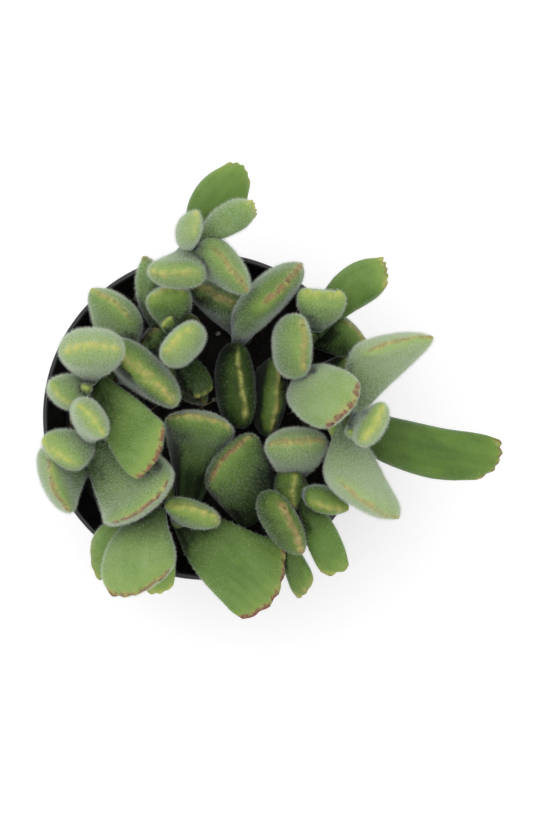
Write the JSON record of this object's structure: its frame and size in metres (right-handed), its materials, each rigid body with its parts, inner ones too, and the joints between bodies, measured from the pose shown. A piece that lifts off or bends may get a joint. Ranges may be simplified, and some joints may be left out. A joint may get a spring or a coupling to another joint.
{
  "type": "potted bear paw succulent",
  "caption": "Bear paw succulent with plump, fuzzy, toothed leaves on short stems in a round tapered black nursery pot of soil.",
  "frame": {"origin": "centre of the pot's flat underside, on the surface it stands on", "axes": "+Z up along the pot's axis; seen from above, +X points right, where the longest leaf reaches out, and +Y points up, where the north stem leans over the rim"},
  "size_m": [0.1258, 0.1235, 0.1177],
  "materials": {
    "pot_plastic": "satin",
    "potting_mix": "matte",
    "leaf_flesh": "matte"
  },
  "bodies": {
    "root": {"pot": "pot_plastic", "soil": "potting_mix", "north_leafy_stem": "leaf_flesh", "north_west_leafy_stem": "leaf_flesh", "west_leafy_stem": "leaf_flesh", "south_west_leafy_stem": "leaf_flesh", "low_south_west_leafy_stem": "leaf_flesh", "south_leafy_stem": "leaf_flesh", "centre_leafy_stem": "leaf_flesh", "inner_north_leafy_stem": "leaf_flesh", "inner_east_leafy_stem": "leaf_flesh", "north_east_leafy_stem": "leaf_flesh", "east_leafy_stem": "leaf_flesh", "south_east_leafy_stem": "leaf_flesh", "offset_leafy_stem": "leaf_flesh"}
  },
  "joints": []
}
